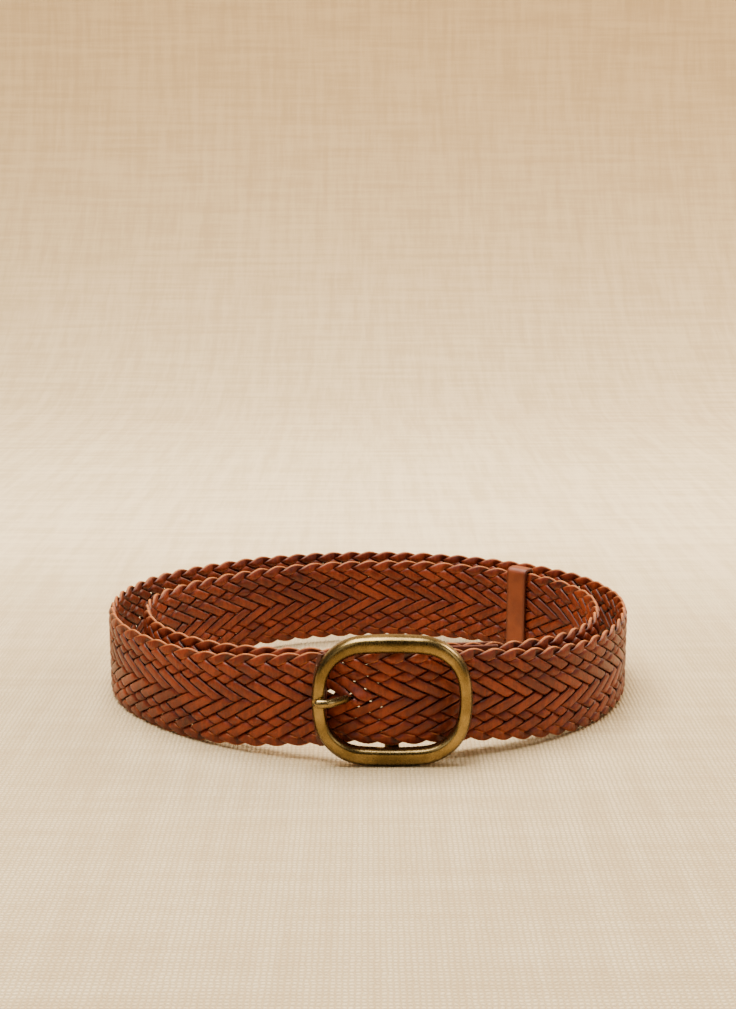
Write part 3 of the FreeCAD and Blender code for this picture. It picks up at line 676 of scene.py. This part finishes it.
def lace_leather():
    """Cognac lace leather: glossy grain side, paler raw cut edges, and painted shade in the crossings and
    on the lace sides.
    """
    nodes = Nodes("lace_leather")
    where = nodes.place()
    patches = nodes.noise(where, LACE_PATCH_SCALE, 3.0, 0.6)
    streaks = nodes.noise(nodes.place((1, 1, 0.35)), STREAK_SCALE, 3.0, 0.65)
    tone = nodes.maths("MULTIPLY_ADD", nodes.attribute("lace_tone"), 0.10)
    nodes.tree.links.new(patches, tone.node.inputs[2])
    # Painted shade: darker where a lace lies under a crossing lace, lighter where it lies on top.
    tone = nodes.maths("ADD", tone, nodes.maths("MULTIPLY", nodes.attribute("over"), 0.17))
    tone = nodes.maths("ADD", tone, nodes.ramp(streaks, 0.3, 0.7, -0.17, 0.17))
    colour = nodes.mix(nodes.ramp(tone, 0.12, 0.52), LACE_DEEP_AND_SHADE, LACE_MIDDLE)
    colour = nodes.mix(nodes.ramp(tone, 0.48, 0.95), colour, LACE_LIGHT)
    rough_cut = nodes.noise(where, RAW_SCALE, 3.0, 0.7)
    rim = nodes.attribute("rim")
    # The shoulders beside the cut edges are rubbed paler in places. The cut edges themselves face the gaps
    # between laces and get painted shade.
    shoulder = nodes.maths("MULTIPLY", nodes.ramp(rim, 0.05, 0.30), nodes.ramp(rim, 0.40, 0.75, 1.0, 0.0))
    rubs = nodes.ramp(nodes.noise(where, RUB_SCALE, 3.0, 0.6), 0.42, 0.68, 0.0, 0.7)
    rubbed = nodes.maths("MULTIPLY", shoulder, rubs)
    # Painted shade: the lace sides, in the gaps between laces, are darkened towards the deep tone.
    colour = nodes.mix(nodes.maths("MULTIPLY", rim, 0.75), colour, LACE_DEEP_AND_SHADE)
    colour = nodes.mix(rubbed, colour, RUBBED_EDGE)
    cut = nodes.maths("MULTIPLY", rim, nodes.ramp(rough_cut, 0.25, 0.6, 0.35, 0.95))
    cut = nodes.maths("MULTIPLY", cut, nodes.attribute("turning"))
    colour = nodes.mix(cut, colour, CUT_EDGE)
    nodes.join(colour, "Base Color")
    gloss = nodes.ramp(streaks, 0.3, 0.75, 0.36, 0.52)
    roughness = nodes.maths("ADD", gloss, nodes.maths("MULTIPLY", cut, 0.25))
    nodes.join(roughness, "Roughness")
    nodes.shader.inputs["Specular IOR Level"].default_value = 0.34
    under = nodes.bump(streaks, 0.5, STREAK_DEPTH)
    nodes.join(leather_grain(nodes, where, 0.35, 0.55, under), "Normal")
    return nodes.material


# Deep, middle and light tone of the dye, and the tone of the burnished edge.
TAB_TONES = (
    (0.050, 0.0085, 0.0025), (0.085, 0.0150, 0.0045), (0.130, 0.026, 0.0080), (0.045, 0.008, 0.0025)
)
KEEPER_TONES = (
    (0.155, 0.028, 0.0060), (0.215, 0.044, 0.0100), (0.290, 0.070, 0.0170), (0.085, 0.014, 0.003)
)
PLAIN_ROUGHNESS = 0.42
PLAIN_PATCH_SCALE = 90.0
PLAIN_GLOSS_SCALE = 350.0


def plain_leather(name, deep, middle, light, edge):
    """Smooth strap leather with a mottled dye and burnished edges."""
    nodes = Nodes(name)
    where = nodes.place()
    patches = nodes.noise(where, PLAIN_PATCH_SCALE, 4.0, 0.6)
    colour = nodes.mix(nodes.ramp(patches, 0.3, 0.55), deep, middle)
    colour = nodes.mix(nodes.ramp(patches, 0.5, 0.8), colour, light)
    colour = nodes.mix(nodes.attribute("rim"), colour, edge)
    nodes.join(colour, "Base Color")
    gloss = nodes.noise(where, PLAIN_GLOSS_SCALE)
    nodes.join(nodes.ramp(gloss, 0.3, 0.7, PLAIN_ROUGHNESS, PLAIN_ROUGHNESS + 0.14), "Roughness")
    nodes.shader.inputs["Specular IOR Level"].default_value = 0.4
    nodes.join(leather_grain(nodes, where, 0.3, 0.25), "Normal")
    return nodes.material


# The frame's front is softly domed: its crest lies this far inside the outline, and its outline's
# round corners have this radius. The curve is the dome's fall per square millimetre from the crest.
DOME_RAIL = 4.2
DOME_CURVE = 0.072
DOME_CORNER = 19.0


def rail_dome(nodes):
    """Height of the frame's softly domed front, from the distance to the frame's outline."""
    low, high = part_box("buckle_frame")
    coordinates = nodes.add("ShaderNodeTexCoord").outputs["Object"]
    axes = nodes.add("ShaderNodeSeparateXYZ", {"Vector": coordinates}).outputs
    beyond = []
    for axis, index in (("X", 0), ("Z", 2)):
        middle, half = (low[index] + high[index]) / 2, (high[index] - low[index]) / 2
        offset = nodes.maths("ABSOLUTE", nodes.maths("SUBTRACT", axes[axis], middle), 0.0)
        beyond.append(nodes.maths("SUBTRACT", offset, half - DOME_CORNER * MM))
    squares = [nodes.maths("POWER", nodes.maths("MAXIMUM", part, 0.0), 2.0) for part in beyond]
    outside = nodes.maths("SQRT", nodes.maths("ADD", squares[0], squares[1]), 0.0)
    inside = nodes.maths("MINIMUM", nodes.maths("MAXIMUM", beyond[0], beyond[1]), 0.0)
    depth = nodes.maths("ADD", nodes.maths("ADD", outside, inside), (DOME_RAIL - DOME_CORNER) * MM)
    fall = nodes.maths("POWER", nodes.maths("ABSOLUTE", depth, 0.0), 2.0)
    return nodes.maths("MULTIPLY", fall, -DOME_CURVE / MM)


PATINA = (0.125, 0.084, 0.028)
SCRATCH = (0.070, 0.042, 0.015)
RUBBED_FRAME = (0.300, 0.208, 0.075)
RUBBED_PRONG = (0.430, 0.310, 0.130)
RUBBED_BAR = (0.260, 0.160, 0.048)
PATINA_SCALE, PATINA_DEPTH = 60.0, 0.0003
SCRATCH_SCALE, SCRATCH_DEPTH = 2600.0, 0.00002


def brass(name, rubbed, roughness, domed=False):
    """Brushed antique brass: a brown patina, rubbed bright in places, with fine scratches."""
    nodes = Nodes(name)
    where = nodes.place()
    patches = nodes.noise(where, PATINA_SCALE, 4.0, 0.6)
    brushed = nodes.noise(nodes.place((1, 1, 0.35)), SCRATCH_SCALE, 3.0, 0.7)
    colour = nodes.mix(nodes.ramp(patches, 0.35, 0.7), PATINA, rubbed)
    colour = nodes.mix(nodes.ramp(brushed, 0.45, 0.8, 0.0, 0.20), colour, SCRATCH)
    nodes.join(colour, "Base Color")
    nodes.shader.inputs["Metallic"].default_value = 1.0
    nodes.join(nodes.ramp(brushed, 0.3, 0.75, roughness, roughness + 0.14), "Roughness")
    under = nodes.bump(rail_dome(nodes), 1.0, 1.0) if domed else None
    under = nodes.bump(patches, 0.08, PATINA_DEPTH, under)
    nodes.join(nodes.bump(brushed, 0.30, SCRATCH_DEPTH, under), "Normal")
    return nodes.material


THREAD_DARK, THREAD_LIGHT = (0.10, 0.035, 0.015), (0.24, 0.095, 0.040)
TWIST_SCALE, TWIST_DEPTH = 900.0, 0.0001


def waxed_thread():
    """Brown waxed thread with a fine twist."""
    nodes = Nodes("waxed_thread")
    twist = nodes.add(
        "ShaderNodeTexWave", {"Vector": nodes.place()}, Scale=TWIST_SCALE, bands_direction="DIAGONAL"
    ).outputs["Fac"]
    nodes.join(nodes.mix(twist, THREAD_DARK, THREAD_LIGHT), "Base Color")
    nodes.shader.inputs["Roughness"].default_value = 0.5
    nodes.join(nodes.bump(twist, 0.6, TWIST_DEPTH), "Normal")
    return nodes.material


WIRE_DARK, WIRE_LIGHT = (0.30, 0.25, 0.17), (0.55, 0.47, 0.33)
WIRE_SCALE = 1200.0


def staple_wire():
    """Dull flat wire."""
    nodes = Nodes("staple_wire")
    marks = nodes.noise(nodes.place(), WIRE_SCALE, 3.0)
    nodes.join(nodes.mix(marks, WIRE_DARK, WIRE_LIGHT), "Base Color")
    nodes.shader.inputs["Metallic"].default_value = 1.0
    nodes.join(nodes.ramp(marks, 0.3, 0.7, 0.28, 0.42), "Roughness")
    return nodes.material


# A pale and a warm tone of the cloth on the table, and darker ones of its upper end behind the belt, which
# are painted shade on the same cloth.
FLOOR_TONES = ((0.920, 0.745, 0.455), (0.750, 0.575, 0.325))
SHADED_WALL_TONES = ((0.480, 0.332, 0.158), (0.405, 0.272, 0.123))
# Colour of the painted shade in the pits of the weave.
WEAVE_PIT_SHADE = (0.480, 0.330, 0.165)
THREAD_SCALE = 190.0
WEAVE_DEPTH = 0.0016
# Slubs are noise at a share of the threads' scale, stretched along the thread.
SLUB_SCALE = 0.6 * THREAD_SCALE
SLUB_STRETCH = 0.07


def linen():
    """Pale woven cloth under and behind the belt, with painted shade making it warmer and darker towards
    its top.
    """
    nodes = Nodes("linen")
    axes = nodes.add("ShaderNodeSeparateXYZ", {"Vector": nodes.place()}).outputs
    # Up the sweep behind the belt the cloth's length runs on along Z.
    length = nodes.maths("ADD", axes["Y"], axes["Z"])
    short_length = nodes.maths("MULTIPLY", length, SLUB_STRETCH)
    short_width = nodes.maths("MULTIPLY", axes["X"], SLUB_STRETCH)
    warp = nodes.add("ShaderNodeCombineXYZ", {"X": axes["X"], "Y": short_length})
    weft = nodes.add("ShaderNodeCombineXYZ", {"X": short_width, "Y": length})
    slubs_along = nodes.noise(warp.outputs["Vector"], SLUB_SCALE, 4.0, 0.7)
    slubs_across = nodes.noise(weft.outputs["Vector"], SLUB_SCALE, 4.0, 0.7)
    slubs = nodes.maths("MULTIPLY", nodes.maths("ADD", slubs_across, slubs_along), 0.5)
    flat = nodes.add("ShaderNodeCombineXYZ", {"X": axes["X"], "Y": length}).outputs["Vector"]
    waves = []
    for direction in ("X", "Y"):
        wave = nodes.add("ShaderNodeTexWave", {"Vector": flat}, Scale=THREAD_SCALE)
        wave.bands_direction = direction
        wave.inputs["Distortion"].default_value = 2.5
        wave.inputs["Detail"].default_value = 2.0
        wave.inputs["Detail Scale"].default_value = 1.5
        waves.append(wave.outputs["Fac"])
    # Behind the belt the threads are finer than a picture can show, so they fade out there.
    near = nodes.ramp(axes["Y"], -0.05, 0.30, 1.0, 0.0)
    weave = nodes.maths("MULTIPLY", nodes.maths("MULTIPLY", waves[0], waves[1]), near)
    tone = nodes.ramp(slubs, 0.38, 0.62)
    floor = nodes.mix(tone, *FLOOR_TONES)
    wall = nodes.mix(tone, *SHADED_WALL_TONES)
    # Painted shade: the cloth darkens from the table up the sweep behind the belt.
    colour = nodes.mix(nodes.ramp(length, 0.2, 1.6), floor, wall)
    # Painted shade: the pits between the threads of the weave are darkened.
    pit_shade = nodes.maths("MULTIPLY", nodes.ramp(weave, 0.0, 0.40, 0.75, 0.0), near)
    colour = nodes.mix(pit_shade, colour, WEAVE_PIT_SHADE)
    nodes.join(colour, "Base Color")
    nodes.shader.inputs["Roughness"].default_value = 0.9
    nodes.shader.inputs["Specular IOR Level"].default_value = 0.15
    nodes.join(nodes.bump(weave, 0.6, WEAVE_DEPTH), "Normal")
    return nodes.material


def dress(item, material):
    """Gives an object one material."""
    item.data.materials.clear()
    item.data.materials.append(material)


braid_material = lace_leather()
tab_material = plain_leather("tab_leather", *TAB_TONES)
keeper_material = plain_leather("keeper_leather", *KEEPER_TONES)
frame_brass = brass("frame_brass", RUBBED_FRAME, 0.24, domed=True)
prong_brass = brass("prong_brass", RUBBED_PRONG, 0.22)
for item in laces:
    dress(item, braid_material)
dress(tab_piece, tab_material)
dress(cap_piece, tab_material)
dress(keeper_piece, keeper_material)
dress(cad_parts["buckle_frame"], frame_brass)
dress(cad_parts["centre_bar"], brass("bar_brass", RUBBED_BAR, 0.32))
dress(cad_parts["prong"], prong_brass)
thread_material = waxed_thread()
dress(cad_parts["tab_stitching"], thread_material)
dress(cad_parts["end_cap_stitching"], thread_material)
dress(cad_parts["keeper_staples"], staple_wire())


# ------------------------------------------------------------------------------------------
# Surroundings, light and camera

def backdrop():
    """A cloth-covered table that sweeps up behind the belt in one piece."""
    half_width, near, far, height, bend = 2.0, -1.2, 1.15, 2.2, 0.45
    profile = [(near, 0.0), (far - bend, 0.0)]
    for degrees in range(5, 90, 5):
        angle = math.radians(degrees)
        profile.append((far - bend + bend * math.sin(angle), bend - bend * math.cos(angle)))
    profile += [(far, bend), (far, height)]
    points = [(side * half_width, y, z) for y, z in profile for side in (-1, 1)]
    faces = [(2 * k, 2 * k + 1, 2 * k + 3, 2 * k + 2) for k in range(len(profile) - 1)]
    cloth = make_object("backdrop", points, faces)
    dress(cloth, linen())


def area_light(name, place, target, width, height, power, colour):
    """A soft rectangular light that faces a target."""
    data = bpy.data.lights.new(name, "AREA")
    data.shape = "RECTANGLE"
    data.size, data.size_y, data.energy, data.color = width, height, power, colour
    lamp = bpy.data.objects.new(name, data)
    bpy.context.scene.collection.objects.link(lamp)
    lamp.location = place
    toward = Vector(target) - Vector(place)
    lamp.rotation_euler = toward.to_track_quat("-Z", "Y").to_euler()


def lights():
    """A broad lamp overhead, a soft one on each side, a warm one behind and a pale surround."""
    area_light("overhead", (-0.25, 0.10, 1.5), (0, 0, 0), 1.3, 1.1, 80.0, (1.0, 0.93, 0.84))
    area_light("left_fill", (-0.9, -1.3, 0.9), (0, 0, 0.02), 0.9, 0.9, 4.5, (1.0, 0.95, 0.88))
    area_light("right_fill", (1.2, -0.9, 0.7), (0.05, 0, 0.02), 0.8, 0.8, 5.0, (1.0, 0.90, 0.78))
    area_light("warm_rim", (0.95, 0.55, 0.75), (0.05, 0, 0.02), 0.5, 0.5, 15.0, (1.0, 0.82, 0.62))
    world = bpy.data.worlds.new("surround")
    world.use_nodes = True
    tree = world.node_tree
    background = tree.nodes["Background"]
    background.inputs["Color"].default_value = (1.0, 0.93, 0.85, 1.0)
    # The room in front of the belt is darker than the wall behind it.
    direction = tree.nodes.new("ShaderNodeTexCoord")
    axes = tree.nodes.new("ShaderNodeSeparateXYZ")
    depth = tree.nodes.new("ShaderNodeMapRange")
    tree.links.new(direction.outputs["Generated"], axes.inputs["Vector"])
    tree.links.new(axes.outputs["Y"], depth.inputs["Value"])
    for key, number in (("From Min", -0.9), ("From Max", 0.3), ("To Min", 0.04), ("To Max", 0.30)):
        depth.inputs[key].default_value = number
    tree.links.new(depth.outputs["Result"], background.inputs["Strength"])
    bpy.context.scene.world = world


CAMERA_PLACE = (0.0, -0.5885, 0.2015)
CAMERA_DOWN = 12.0
CAMERA_LENS = 53.5
CAMERA_SENSOR = 36.0


def camera():
    """The camera: in front of the buckle, a little above it, looking slightly down."""
    data = bpy.data.cameras.new("camera")
    data.sensor_fit = "VERTICAL"
    data.sensor_height = CAMERA_SENSOR
    data.lens = CAMERA_LENS
    item = bpy.data.objects.new("camera", data)
    bpy.context.scene.collection.objects.link(item)
    item.location = CAMERA_PLACE
    item.rotation_euler = (math.radians(90.0 - CAMERA_DOWN), 0.0, 0.0)
    bpy.context.scene.camera = item


backdrop()
lights()
camera()
